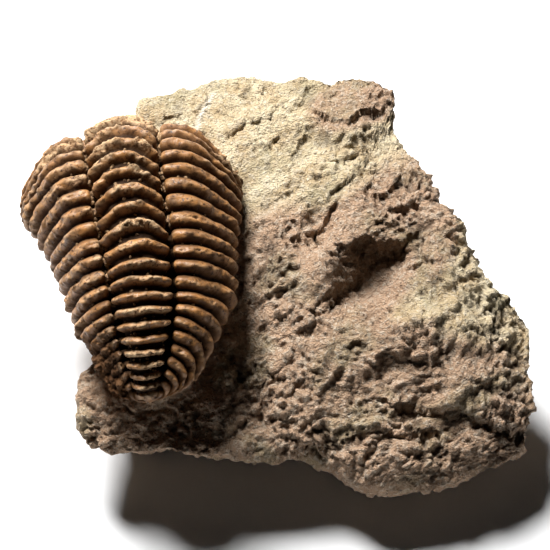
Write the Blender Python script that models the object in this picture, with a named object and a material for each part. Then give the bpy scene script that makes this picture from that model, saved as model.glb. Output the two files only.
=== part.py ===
"""A calymenid trilobite, arched with its head bent down, on the broken block of stone that it formed in.

The frame has +X along the block's length, +Y from the trilobite's tail towards its head, and +Z up.
The origin is on the ground, below the centre of the whole specimen.
The fossil is one mineral piece and the block is another. A thin gap keeps their meshes apart.
"""

import math

import bmesh
import bpy
import numpy as np
from mathutils import Vector, noise

MM = 0.001

# Collections
PART_COLLECTION = "trilobite_fossil"
CUTTER_COLLECTION = "cutters"

# The block, in millimetres. The rim is where the block is widest: x, y and height of each corner.
ROCK_CENTRE = (4, -1)
ROCK_RIM = (
    (50.5, -11, 19.5),
    (51, -19.5, 17),
    (51, -27, 14.5),
    (50.2, -31.8, 12.5),
    (49, -35, 10.5),
    (45, -37.6, 10.5),
    (39, -39.6, 10),
    (33, -42.3, 9.5),
    (26, -43, 9.5),
    (16, -41.5, 8.5),
    (10, -39, 9.5),
    (5, -37.5, 12),
    (1, -38, 13),
    (-9, -37, 15),
    (-22, -36, 15.5),
    (-34, -36, 14),
    (-38, -33, 14),
    (-39, -30.5, 14.5),
    (-39.5, -22.5, 16.5),
    (-37, -20, 18),
    (-36, -12, 18),
    (-36, 0, 18),
    (-35, 14, 19),
    (-32, 26, 21),
    (-28.5, 35, 24),
    (-28, 38.5, 25),
    (-23, 39.5, 26),
    (-17, 40.5, 27),
    (-12.5, 42.2, 28),
    (2, 41, 29),
    (5, 41.7, 29.5),
    (10.5, 40.5, 29.5),
    (14, 40.6, 31),
    (21, 40, 31),
    (24.5, 37.3, 30),
    (24.4, 33.5, 29),
    (24, 30, 27.5),
    (27.5, 24.5, 26),
    (32, 18, 26),
    (33.5, 13.5, 26),
    (35.5, 12.2, 25.5),
    (39, 5.4, 24),
    (41.5, -0.2, 23),
    (42.5, -2.3, 22.5),
    (46, -5.1, 21.5),
)
# Each broken plane of the top: its height above the origin and its slopes along X and Y.
ROCK_PLANES = (
    (30.5, -0.02, -0.03),
    (31.0, 0.0, 0.37),
    (47.5, -0.55, 0.10),
)
PLANE_BLEND = 0.9
# Hollows and lumps of the top: x, y, half length, half width, heading in degrees, height and edge sharpness.
ROCK_RELIEF = (
    (20, -2, 10, 5, 42, -5.2, 1.5),
    (8, 6, 6, 2.5, 80, -2.8, 1.0),
    (29, -16, 11, 5, 15, 2.0, 1.5),
    (16, 34, 10, 7, 10, 2.6, 3.0),
    (-5, -12, 20, 4, 96, -3.0, 1.0),
    (-24, -2, 34, 18, 92, -3.0, 2.0),
    (30, -27, 5, 3, 15, -2.0, 1.5),
    (10, -22, 9, 6, 30, 1.5, 1.0),
)
# The stone left under the trilobite: x, y, half length, half width, heading, height and edge sharpness.
PEDESTAL = (-25.5, -8, 19, 11, 95, 30.5, 4.0)
ROCK_GRID = 36
WALL_STEPS = 6
BASE_SHARE = 0.74
RIM_SHARPNESS = 16
# Roughness of the break: amplitude and feature size, both in millimetres.
ROCK_ROUGHNESS = ((1.1, 13.0), (0.5, 5.0))

# The trilobite, in millimetres along its back from the tail tip, and in degrees of rise.
BACK_STATIONS = (0, 6, 20, 40, 50, 65)
BACK_RISE = (62, 46, 21, 3, -5, -42)
SIZE_STATIONS = (0, 1, 3, 6, 10, 15, 20, 28, 36, 44, 52, 65)
HALF_WIDTH = (0, 4.6, 7.4, 9.4, 11.8, 13.8, 15.6, 17.8, 19.4, 20.6, 21.0, 20.6)
FLANK_DEPTH = (0, 0.8, 2.2, 4.2, 6.5, 9.0, 11.0, 13.5, 15.0, 16.0, 16.4, 16.2)
# The shares of that width on the two sides, because the animal is a little crushed.
SIDE_STATIONS = (0, 10, 20, 28, 36, 44, 52, 65)
LEFT_SHARE = (1, 0.95, 0.86, 0.84, 0.83, 0.87, 0.985, 1.0)
RIGHT_SHARE = (1, 1.01, 0.98, 0.94, 0.90, 0.91, 0.95, 1.0)
AXIS_STATIONS = (0, 10, 20, 30, 65)
AXIS_HALF_WIDTH = (2.0, 4.4, 5.8, 6.5, 7.2)
# The axis's arch: its height, its limit as a share of the flank's depth, and how much of it is a parabola.
AXIS_ARCH = 3.8
ARCH_LIMIT = 0.34
ARCH_PARABOLA = 0.6
AXIS_LIMIT = 0.45
# The flank swells a little beside the axis: how much of its depth, and over how much of its width.
FLANK_HUMP = 0.09
FLANK_HUMP_SPAN = 0.55
# The body bends a little to one side between its ends.
BEND_STATIONS = (0, 10, 20, 35, 50, 65)
SIDE_BEND = (0, 1.2, 2.0, 1.6, 0.6, 0)
BELLY_BULGE = 1.5
BELLY_LIMIT = 0.2
# Shares of the way from the crest to the middle of the belly: the axis's furrow and the flank's lower edge.
AXIS_WAY = 0.2
FLANK_WAY = 0.75
HEAD_LENGTH = 9.0
HEAD_CENTRE_DEPTH = 9.0

# Segments: the pitch grows from the tail shield to the thorax.
TAIL_PITCH = 2.0
THORAX_PITCH = 3.9
FIRST_RING = 3.0
THORAX_FROM = 40.0
RING_RELIEF = 1.1
RIB_RELIEF = 1.0
FURROW_DEPTH = 1.8
FURROW_HALF_WIDTH = 0.9
FURROW_FULL_FROM = 12.0
# Rings bow forward at the crest, fully from one station on and by a smallest share behind it.
RING_BOW = 2.3
RING_BOW_FULL_FROM = 45.0
RING_BOW_LEAST = 0.2
# Ribs trail backward at their ends, the tail shield's ribs more than the thorax's.
RIB_SWEEP = 8.5
RIB_SWEEP_UNTIL = 30.0
RIB_DROOP = 1.5
# Rings and ribs fade out toward this way round, and toward the tail tip.
RELIEF_UNTIL = 0.85
RELIEF_FADE = 0.1
RELIEF_FULL_FROM = 3.0

# Where the trilobite lies on the block
TAIL_TIP = (-25.0, -33.0, 28.5)
ROLL_DEG = -6.0
YAW_DEG = 5.0

TRILOBITE_ROWS = 96
TRILOBITE_AROUND = 40
CAP_ROWS = 10
# The rows crowd toward the tail by this share of the length.
ROW_CROWDING = 0.06
BACK_STEPS = 600
HULL_ROWS = 56
HULL_AROUND = 32
SEAT_GAP = 0.35


def clear_scene():
    """Removes every object, so that the script can be run again in the same file."""
    for item in list(bpy.data.objects):
        bpy.data.objects.remove(item, do_unlink=True)


def make_collection(name):
    """Makes an empty collection under the scene's own."""
    group = bpy.data.collections.new(name)
    bpy.context.scene.collection.children.link(group)
    return group


def make_material(name, colour, roughness):
    """Makes a plain, non-metallic material."""
    material = bpy.data.materials.new(name)
    material.use_nodes = True
    shader = material.node_tree.nodes["Principled BSDF"]
    shader.inputs["Base Color"].default_value = (*colour, 1.0)
    shader.inputs["Roughness"].default_value = roughness
    shader.inputs["Metallic"].default_value = 0.0
    material.diffuse_color = (*colour, 1.0)
    return material


def face_outward(editor):
    """Turns every face outward. The faces' own directions have to be current before and after."""
    editor.normal_update()
    bmesh.ops.recalc_face_normals(editor, faces=editor.faces[:])
    editor.normal_update()


def make_object(name, mesh_editor, collection, material=None):
    """Turns a finished mesh editor into a smooth-shaded object."""
    mesh = bpy.data.meshes.new(name)
    face_outward(mesh_editor)
    mesh_editor.to_mesh(mesh)
    mesh_editor.free()
    mesh.shade_smooth()
    if material:
        mesh.materials.append(material)
    item = bpy.data.objects.new(name, mesh)
    collection.objects.link(item)
    return item


def rim_at(angle):
    """Gives the block's plan radius and rim height, in millimetres, in each direction from its centre."""
    corners = np.array(ROCK_RIM, float)
    across = corners[:, 0] - ROCK_CENTRE[0]
    along = corners[:, 1] - ROCK_CENTRE[1]
    turns = np.arctan2(along, across)
    order = np.argsort(turns)
    radius = np.interp(angle, turns[order], np.hypot(across, along)[order], period=2 * math.pi)
    height = np.interp(angle, turns[order], corners[order, 2], period=2 * math.pi)
    return radius, height


def spread(x, y, centre_x, centre_y, length, width, heading, sharpness):
    """Gives the share of a feature at each place: 1 at its middle and 0 well outside it."""
    turn = math.radians(heading)
    along = ((x - centre_x) * math.cos(turn) + (y - centre_y) * math.sin(turn)) / length
    across = ((y - centre_y) * math.cos(turn) - (x - centre_x) * math.sin(turn)) / width
    return np.exp(-((along**2 + across**2) ** sharpness))


def top_height(x, y):
    """Gives the height of the block's broken top, in millimetres."""
    planes = [height + along_x * x + along_y * y for height, along_x, along_y in ROCK_PLANES]
    top = -PLANE_BLEND * np.log(sum(np.exp(-plane / PLANE_BLEND) for plane in planes))
    for centre_x, centre_y, length, width, heading, rise, sharpness in ROCK_RELIEF:
        top += rise * spread(x, y, centre_x, centre_y, length, width, heading, sharpness)
    centre_x, centre_y, length, width, heading, height, sharpness = PEDESTAL
    under = spread(x, y, centre_x, centre_y, length, width, heading, sharpness)
    return top + np.maximum(height - top, 0) * under


def disc_from_square(x, y):
    """Maps the square from -1 to 1 onto the unit disc, as shares of the radius and angles."""
    disc_x = x * np.sqrt(1 - y**2 / 2)
    disc_y = y * np.sqrt(1 - x**2 / 2)
    return np.minimum(np.hypot(disc_x, disc_y), 1.0), np.arctan2(disc_y, disc_x)


def roughen(vertices, layers, seed):
    """Moves points along their normals by seeded noise. Layers are amplitude and feature size."""
    offset = Vector((seed, 2 * seed, 3 * seed))
    for vertex in vertices:
        push = sum(
            amplitude * noise.noise(vertex.co / (size * MM) + offset) for amplitude, size in layers
        )
        vertex.co += vertex.normal * push * MM


def build_rock(collection, material):
    """Builds the block: a broken top, a wall that tapers inward below the rim, and a flat base."""
    editor = bmesh.new()
    bmesh.ops.create_grid(editor, x_segments=ROCK_GRID, y_segments=ROCK_GRID, size=1.0)
    square = np.array([vertex.co[:2] for vertex in editor.verts])
    share, angle = disc_from_square(square[:, 0], square[:, 1])
    radius, rim_height = rim_at(angle)
    x = ROCK_CENTRE[0] + share * radius * np.cos(angle)
    y = ROCK_CENTRE[1] + share * radius * np.sin(angle)
    rounding = np.sqrt(1 - share**RIM_SHARPNESS)
    z = rim_height + (top_height(x, y) - rim_height) * rounding
    for vertex, place in zip(editor.verts, np.stack([x, y, z], axis=1)):
        vertex.co = Vector(place) * MM

    ring = [edge for edge in editor.edges if edge.is_boundary]
    centre = Vector((*ROCK_CENTRE, 0.0)) * MM
    for step in range(1, WALL_STEPS + 1):
        grown = bmesh.ops.extrude_edge_only(editor, edges=ring)["geom"]
        ring = [item for item in grown if isinstance(item, bmesh.types.BMEdge)]
        moved = [item for item in grown if isinstance(item, bmesh.types.BMVert)]
        way = step / WALL_STEPS
        before = (step - 1) / WALL_STEPS
        shrink = (1 - (1 - BASE_SHARE) * way) / (1 - (1 - BASE_SHARE) * before)
        drop = (1 - way) / (1 - before)
        for vertex in moved:
            vertex.co.x = centre.x + (vertex.co.x - centre.x) * shrink
            vertex.co.y = centre.y + (vertex.co.y - centre.y) * shrink
            vertex.co.z *= drop
    bmesh.ops.edgeloop_fill(editor, edges=ring)
    face_outward(editor)
    base = {vertex for edge in ring for vertex in edge.verts}
    roughen([vertex for vertex in editor.verts if vertex not in base], ROCK_ROUGHNESS, seed=3)
    return make_object("rock_matrix", editor, collection, material)


def back_line(stations):
    """Gives the side view of the crest of the back: places along Y and Z, and the rise, in radians."""
    fine = np.linspace(0, BACK_STATIONS[-1], BACK_STEPS)
    rise = np.radians(np.interp(fine, BACK_STATIONS, BACK_RISE))
    step = fine[1]
    along = np.concatenate([[0], np.cumsum(np.cos(rise[:-1]) * step)])
    up = np.concatenate([[0], np.cumsum(np.sin(rise[:-1]) * step)])
    return (
        np.interp(stations, fine, along),
        np.interp(stations, fine, up),
        np.interp(stations, fine, rise),
    )


def ring_count(stations):
    """Counts the rings between the tail's first ring and each station, as a running phase."""
    growth = (THORAX_PITCH - TAIL_PITCH) / (THORAX_FROM - FIRST_RING)
    tail_part = np.clip(stations, 0, THORAX_FROM) - FIRST_RING
    tail_rings = np.log1p(np.maximum(tail_part, -1) * growth / TAIL_PITCH) / growth
    return tail_rings + np.maximum(stations - THORAX_FROM, 0) / THORAX_PITCH


def body_grid(editor, rows, around):
    """Turns a sphere's points into their rows' stations, shares of the head and ways round the body."""
    points = np.array([vertex.co for vertex in editor.verts])
    row = np.arccos(np.clip(-points[:, 2], -1, 1)) / math.pi * rows
    cap_rows = max(3, round(rows * CAP_ROWS / TRILOBITE_ROWS))
    body_share = np.clip(row / (rows - cap_rows), 0, 1)
    length = BACK_STATIONS[-1]
    crowding = ROW_CROWDING * np.sin(math.pi * body_share) * (1 - body_share)
    station = length * (body_share - crowding)
    head = np.clip((row - (rows - cap_rows)) / cap_rows, 0, 1)
    round_way = np.arctan2(points[:, 0], points[:, 1]) / math.pi
    return station, head, round_way


def section(station, round_way):
    """Gives a section's sideways and downward distances and its axis's half width.

    The way round runs from 0 at the crest to 1 at the middle of the belly, and is negative on the left.
    """
    way = np.abs(round_way)
    left = np.interp(station, SIDE_STATIONS, LEFT_SHARE)
    right = np.interp(station, SIDE_STATIONS, RIGHT_SHARE)
    width = np.interp(station, SIZE_STATIONS, HALF_WIDTH) * np.where(round_way < 0, left, right)
    depth = np.interp(station, SIZE_STATIONS, FLANK_DEPTH)
    axis = np.minimum(np.interp(station, AXIS_STATIONS, AXIS_HALF_WIDTH), AXIS_LIMIT * width)
    arch = np.minimum(AXIS_ARCH, ARCH_LIMIT * depth)
    in_axis = np.clip(way / AXIS_WAY, 0, 1)
    in_flank = np.clip((way - AXIS_WAY) / (FLANK_WAY - AXIS_WAY), 0, 1)
    in_belly = np.clip((way - FLANK_WAY) / (1 - FLANK_WAY), 0, 1) * math.pi / 2
    flank_turn = in_flank * math.pi / 2
    sideways = axis * in_axis + (width - axis) * np.sin(flank_turn)
    sideways = sideways * np.cos(in_belly)
    down = arch * (ARCH_PARABOLA * in_axis**2 + (1 - ARCH_PARABOLA) * in_axis**4)
    down = down + (depth - arch) * (1 - np.cos(flank_turn))
    hump = np.sin(math.pi * np.clip(in_flank / FLANK_HUMP_SPAN, 0, 1))
    down = down - FLANK_HUMP * depth * hump
    down = down + np.minimum(BELLY_BULGE, BELLY_LIMIT * depth) * np.sin(in_belly)
    return sideways, down, axis


def body_relief(station, head, way, sideways, axis, plain):
    """Gives how far rings, ribs and furrows stand out from the smooth body, in millimetres.

    A plain body has the height of the rings and ribs all over, with nothing between them.
    """
    in_axis = np.clip(way / AXIS_WAY, 0, 1)
    outward = np.clip((way - AXIS_WAY) / (FLANK_WAY - AXIS_WAY), 0, 1)
    bow = RING_BOW * np.clip(station / RING_BOW_FULL_FROM, RING_BOW_LEAST, 1) * (1 - in_axis**2)
    sweep = RIB_SWEEP * outward**1.5 * np.clip(1 - station / RIB_SWEEP_UNTIL, 0, 1)
    sweep = sweep + RIB_DROOP * outward**2
    on_axis = way < AXIS_WAY
    phase = ring_count(np.where(on_axis, station - bow, station + sweep)) % 1.0
    roll = 1 - np.abs(2 * phase - 1) ** 3
    fade = np.clip((RELIEF_UNTIL - way) / RELIEF_FADE, 0, 1) * (1 - head)
    fade = fade * np.clip(station / RELIEF_FULL_FROM, 0, 1)
    height = np.where(on_axis, RING_RELIEF, RIB_RELIEF) * fade
    if plain:
        return height
    furrow = np.exp(-(((np.abs(sideways) - axis) / FURROW_HALF_WIDTH) ** 2))
    return height * roll - FURROW_DEPTH * furrow * fade * np.clip(station / FURROW_FULL_FROM, 0, 1)


def build_body(name, rows, around, plain, swell, collection, material=None):
    """Builds the trilobite, or a plain copy of it. The swell, in millimetres, moves the whole skin out."""
    editor = bmesh.new()
    bmesh.ops.create_uvsphere(editor, u_segments=around, v_segments=rows, radius=1.0)
    station, head, round_way = body_grid(editor, rows, around)
    way = np.abs(round_way)
    sideways, down, axis = section(station, round_way)
    turn = head * math.pi / 2
    sideways = sideways * np.cos(turn)
    down = HEAD_CENTRE_DEPTH + (down - HEAD_CENTRE_DEPTH) * np.where(head > 0, np.cos(turn), 1)
    forward = HEAD_LENGTH * np.sin(turn)
    along, up, rise = back_line(station)
    places = np.stack(
        [
            np.sign(round_way) * sideways + np.interp(station, BEND_STATIONS, SIDE_BEND),
            along + forward * np.cos(rise) + down * np.sin(rise),
            up + forward * np.sin(rise) - down * np.cos(rise),
        ],
        axis=1,
    )
    for vertex, place in zip(editor.verts, places):
        vertex.co = Vector(place) * MM
    face_outward(editor)
    relief = body_relief(station, head, way, sideways, axis, plain)
    for vertex, push in zip(editor.verts, relief + swell):
        vertex.co += vertex.normal * push * MM
    item = make_object(name, editor, collection, material)
    item.location = Vector(TAIL_TIP) * MM
    item.rotation_euler = (0.0, math.radians(ROLL_DEG), math.radians(YAW_DEG))
    return item


def cut_seat(rock, hull):
    """Cuts the seat of the trilobite out of the block."""
    hull.hide_render = True
    hull.display_type = "WIRE"
    cut = rock.modifiers.new("seat", "BOOLEAN")
    cut.operation = "DIFFERENCE"
    cut.solver = "EXACT"
    cut.object = hull


def main():
    """Builds the specimen."""
    clear_scene()
    parts = make_collection(PART_COLLECTION)
    cutters = make_collection(CUTTER_COLLECTION)
    stone = make_material("limestone", (0.42, 0.33, 0.24), 0.95)
    calcite = make_material("brown_calcite", (0.27, 0.13, 0.055), 0.5)
    rock = build_rock(parts, stone)
    build_body("trilobite", TRILOBITE_ROWS, TRILOBITE_AROUND, False, 0.0, parts, calcite)
    hull = build_body("seat_cutter", HULL_ROWS, HULL_AROUND, True, SEAT_GAP, cutters)
    cut_seat(rock, hull)


main()
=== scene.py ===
"""The looks of a calymenid trilobite in brown calcite on its broken block of limestone.

Sizes are in millimetres until a mesh is finished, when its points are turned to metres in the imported
model's frame: +X along the block, +Y from the trilobite's tail towards its head, +Z up.
"""

import sys
import logging
import math
import random
from collections.abc import Sequence
from dataclasses import dataclass
from enum import Enum

import bmesh
import bpy
import numpy as np
from mathutils import Euler, Matrix, Vector, noise


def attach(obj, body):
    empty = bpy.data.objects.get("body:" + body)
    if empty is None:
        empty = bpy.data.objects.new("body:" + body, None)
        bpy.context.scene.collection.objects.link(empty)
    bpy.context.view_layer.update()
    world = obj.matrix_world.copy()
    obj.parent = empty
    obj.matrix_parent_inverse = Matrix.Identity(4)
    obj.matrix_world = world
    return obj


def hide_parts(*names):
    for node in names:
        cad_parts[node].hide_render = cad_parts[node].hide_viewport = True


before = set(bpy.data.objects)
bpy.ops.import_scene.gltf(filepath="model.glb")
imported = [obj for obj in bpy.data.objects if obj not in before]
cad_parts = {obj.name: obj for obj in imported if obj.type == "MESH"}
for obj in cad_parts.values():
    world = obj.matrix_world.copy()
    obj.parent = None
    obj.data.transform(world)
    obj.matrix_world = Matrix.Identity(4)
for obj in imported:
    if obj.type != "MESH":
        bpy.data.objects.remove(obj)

logging.basicConfig(level=logging.INFO, format="%(message)s", stream=sys.stdout)
log = logging.getLogger("trilobite")

MM = 0.001

Array = np.ndarray
Colour = tuple[float, float, float, float]


class Side(Enum):
    """The two sides of the trilobite, as signs along its own X axis."""

    LEFT = -1.0
    RIGHT = 1.0


def linear(hex_colour: str) -> Colour:
    """Turns an sRGB hex colour into linear light.

    Args:
        hex_colour: six hex digits, such as "c0a080".

    Returns:
        The linear red, green and blue, and an alpha of 1.
    """
    shares = [int(hex_colour[place:place + 2], 16) / 255 for place in (0, 2, 4)]
    red, green, blue = (s / 12.92 if s <= 0.04045 else ((s + 0.055) / 1.055) ** 2.4 for s in shares)
    return red, green, blue, 1.0


def smooth_step(low: float, high: float, values: Array) -> Array:
    """Rises smoothly from 0 at the low value to 1 at the high one.

    Args:
        low: where the rise starts.
        high: where it ends.
        values: what is measured.

    Returns:
        The share of the rise at each value.
    """
    share = np.clip((values - low) / (high - low), 0.0, 1.0)
    return share * share * (3 - 2 * share)


def seeded(points: Array, size: float, seed: int) -> list[Vector]:
    """Scales places to one feature size, and shifts them so that each seed reads its own noise.

    Args:
        points: places in millimetres, one row each.
        size: the feature size in millimetres.
        seed: which noise.

    Returns:
        The place in the noise for each row.
    """
    shift = np.array((seed, 2 * seed, 3 * seed), float)
    return [Vector(row) for row in points / size + shift]


def noise_at(points: Array, size: float, seed: int) -> Array:
    """Reads seeded noise of one feature size at many points.

    Args:
        points: places in millimetres, one row each.
        size: the feature size in millimetres.
        seed: which noise.

    Returns:
        Values from about -1 to 1.
    """
    return np.array([noise.noise(place) for place in seeded(points, size, seed)])


def fractal_at(points: Array, size: float, seed: int, layers: int) -> Array:
    """Reads seeded noise with finer layers on top, each half the size and a little over half as strong.

    Args:
        points: places in millimetres, one row each.
        size: the size of the coarsest features in millimetres.
        seed: which noise.
        layers: how many layers.

    Returns:
        Values mostly from -1 to 1.
    """
    falloff, finer = 0.8, 2.0
    return np.array([noise.fractal(place, falloff, finer, layers) for place in seeded(points, size, seed)])


def scoops_at(points: Array, size: float, seed: int) -> Array:
    """Reads a seeded break of shallow scoops that meet in sharp ridges, as stone chips away.

    Args:
        points: places in millimetres, one row each.
        size: the usual size of a scoop in millimetres.
        seed: which break.

    Returns:
        Values from about -0.5 in the scoops to 0.5 on the ridges.
    """
    middle = 0.5
    return np.array([noise.voronoi(place)[0][0] for place in seeded(points, size, seed)]) - middle


def crumble_at(points: Array, size: float, seed: int, layers: int) -> Array:
    """Reads a seeded crumbly break of lumps that meet in sharp creases, with finer lumps on top.

    Args:
        points: places in millimetres, one row each.
        size: the size of the coarsest lumps in millimetres.
        seed: which break.
        layers: how many layers.

    Returns:
        Values mostly from -0.5 in the creases to 0.5 on the lumps.
    """
    middle = 0.45
    return np.array([noise.turbulence(place, layers, True) for place in seeded(points, size, seed)]) - middle


def stretched(points: Array, heading: float, stretch: float) -> Array:
    """Shrinks places along one level heading, so that noise read there runs out along it.

    Args:
        points: places in millimetres, one row each.
        heading: the direction from +X in degrees.
        stretch: how many times longer the features become.

    Returns:
        The changed places.
    """
    turn = math.radians(heading)
    along = points[:, 0] * math.cos(turn) + points[:, 1] * math.sin(turn)
    across = points[:, 1] * math.cos(turn) - points[:, 0] * math.sin(turn)
    return np.stack([along / stretch, across, points[:, 2]], axis=1)


def points_of(editor: bmesh.types.BMesh) -> Array:
    """Reads a mesh editor's points, one row each."""
    return np.array([vertex.co for vertex in editor.verts])


def place_points(editor: bmesh.types.BMesh, points: Array) -> None:
    """Moves a mesh editor's points to new places and refreshes its normals.

    Args:
        editor: the mesh editor.
        points: one row for each point.
    """
    for vertex, row in zip(editor.verts, points):
        vertex.co = Vector(row)
    editor.normal_update()


def push_out(editor: bmesh.types.BMesh, distances: Array) -> None:
    """Moves points along their normals and refreshes the normals.

    Args:
        editor: the mesh editor.
        distances: how far out each point goes.
    """
    for vertex, distance in zip(editor.verts, distances):
        vertex.co += vertex.normal * distance
    editor.normal_update()


def face_outward(editor: bmesh.types.BMesh) -> None:
    """Turns every face outward."""
    editor.normal_update()
    bmesh.ops.recalc_face_normals(editor, faces=editor.faces[:])
    editor.normal_update()


def finish_mesh(name: str, editor: bmesh.types.BMesh, material: bpy.types.Material,
                shares: dict[str, Array] | None = None, smooth: bool = True) -> bpy.types.Object:
    """Turns a mesh editor in millimetres into a piece in metres.

    Args:
        name: the piece's name.
        editor: the mesh editor, which is freed.
        material: what covers it.
        shares: values from 0 to 1 for each point, kept on the mesh for the material to read.
        smooth: whether the faces are shaded smooth.

    Returns:
        The new object.
    """
    bmesh.ops.scale(editor, verts=editor.verts[:], vec=(MM, MM, MM))
    mesh = bpy.data.meshes.new(name)
    editor.to_mesh(mesh)
    editor.free()
    for key, values in (shares or {}).items():
        layer = mesh.attributes.new(key, "FLOAT", "POINT")
        layer.data.foreach_set("value", np.clip(values, 0, 1).astype(np.float32))
    if smooth:
        mesh.shade_smooth()
    mesh.materials.append(material)
    piece = bpy.data.objects.new(name, mesh)
    bpy.context.scene.collection.objects.link(piece)
    return piece


def report(piece: bpy.types.Object) -> None:
    """Logs a piece's name and how many faces it has."""
    log.info("%s: %d faces", piece.name, len(piece.data.polygons))


class NodeTree:
    """A material's nodes, added one by one."""

    def __init__(self, name: str) -> None:
        """Makes an empty material.

        Args:
            name: the material's name.
        """
        self.material = bpy.data.materials.new(name)
        self.material.use_nodes = True
        self.material.node_tree.nodes.clear()

    def add(self, kind: str, values: dict | None = None, out: int | str = 0,
            **settings: object) -> bpy.types.NodeSocket:
        """Adds one node with its settings and links.

        Args:
            kind: the node's type, without "ShaderNode".
            values: input name or number to a plain value, or to an output socket, which is linked.
            out: which of the node's outputs is wanted.
            settings: the node's own properties.

        Returns:
            The wanted output of the new node.
        """
        tree = self.material.node_tree
        node = tree.nodes.new(f"ShaderNode{kind}")
        for key, setting in settings.items():
            setattr(node, key, setting)
        for key, value in (values or {}).items():
            if isinstance(value, bpy.types.NodeSocket):
                tree.links.new(value, node.inputs[key])
            else:
                node.inputs[key].default_value = value
        return node.outputs[out] if node.outputs else None

    def close(self, **values: object) -> bpy.types.Material:
        """Adds the surface shader and the output.

        Args:
            values: the shader's inputs, with underscores for spaces.

        Returns:
            The finished material.
        """
        named = {key.replace("_", " "): value for key, value in values.items()}
        self.add("OutputMaterial", {"Surface": self.add("BsdfPrincipled", named)})
        return self.material


@dataclass(frozen=True)
class BrokenLimestone:
    """Rough broken limestone: matt and sandy, cream where fresh, pinkish or grey-green elsewhere."""

    cream: Colour = linear("ead9b4")
    tan: Colour = linear("c9b088")
    pink: Colour = linear("bd9b7d")
    green: Colour = linear("a1946f")
    # Dark is painted shade: in the grain's pits, in the hollows of the break and on the walls.
    dark: Colour = linear("4a3a2a")
    white: Colour = linear("f3ead6")
    roughness: float = 0.93
    patch_mm: float = 5.0
    # Sand grains are finer in the real stone. They are coarsened here so that they still show from afar.
    grain_mm: float = 0.9
    fine_mm: float = 0.45
    flake_mm: float = 0.8
    bend_mm: float = 0.8
    relief_mm: float = 1.2

    def make(self) -> bpy.types.Material:
        """Makes the material, which reads the points' pink, green and vein shares and their share of painted
        shade.
        """
        tree = NodeTree("broken_limestone")
        place = tree.add("TexCoord", out="Object")
        # Patches a few millimetres wide keep the stone from looking like one even paint.
        patches = tree.add("TexNoise", {"Vector": place, "Scale": 1 / (self.patch_mm * MM), "Detail": 6.0,
                                        "Roughness": 0.6})
        # Grain and sand are the crumbly break itself.
        grain = tree.add("TexNoise", {"Vector": place, "Scale": 1 / (self.grain_mm * MM), "Detail": 5.0,
                                      "Roughness": 0.68})
        sand = tree.add("TexNoise", {"Vector": place, "Scale": 1 / (self.fine_mm * MM), "Detail": 3.0,
                                     "Roughness": 0.6})
        # Bent cells are crystal flakes of uneven brightness.
        bend = tree.add("TexNoise", {"Vector": place, "Scale": 1 / (self.grain_mm * MM)}, out="Color")
        bend = tree.add("VectorMath", {0: bend, 3: self.bend_mm * MM}, operation="SCALE")
        bent = tree.add("VectorMath", {0: place, 1: bend})
        flakes = tree.add("TexVoronoi", {"Vector": bent, "Scale": 1 / (self.flake_mm * MM)}, out="Color")
        flake = tree.add("SeparateColor", {"Color": flakes}, out="Red")
        share = {key: tree.add("Attribute", out="Fac", attribute_name=key)
                 for key in ("pink", "green", "vein", "painted_shade")}
        pinkness = tree.add("Math", {0: share["pink"], 1: patches})
        pinkness = tree.add("MapRange", {"Value": pinkness, "From Min": 0.7, "From Max": 1.25})
        greenness = tree.add("MapRange", {"Value": patches, "From Min": 0.35, "From Max": 0.6})
        greenness = tree.add("Math", {0: share["green"], 1: greenness}, operation="MULTIPLY")
        freshness = tree.add("MapRange", {"Value": patches, "From Min": 0.4, "From Max": 0.65})
        shine = tree.add("MapRange", {"Value": flake, "From Min": 0.6, "From Max": 1.0, "To Max": 0.3})
        # Painted shade: the low places of the grain are painted dark as shade in the pits.
        shade = tree.add("MapRange", {"Value": grain, "From Min": 0.44, "From Max": 0.33, "To Max": 0.75})
        # Painted highlight: the tops of the sand are painted white as glints on the grains.
        sand_highlight = tree.add("MapRange", {"Value": sand, "From Min": 0.56, "From Max": 0.7, "To Max": 0.5})
        ground = self.tan
        for layer, colour in ((freshness, self.cream), (pinkness, self.pink), (greenness, self.green),
                              (shine, self.white), (shade, self.dark), (sand_highlight, self.white),
                              (share["vein"], self.white), (share["painted_shade"], self.dark)):
            ground = tree.add("Mix", {0: layer, 6: ground, 7: colour}, out=2, data_type="RGBA")
        height = tree.add("Math", {0: sand, 1: 0.7, 2: grain}, operation="MULTIPLY_ADD")
        height = tree.add("Math", {0: flake, 1: 0.3, 2: height}, operation="MULTIPLY_ADD")
        bump = tree.add("Bump", {"Height": height, "Distance": self.relief_mm * MM, "Strength": 1.0})
        return tree.close(Base_Color=ground, Roughness=self.roughness, Normal=bump)


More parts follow.
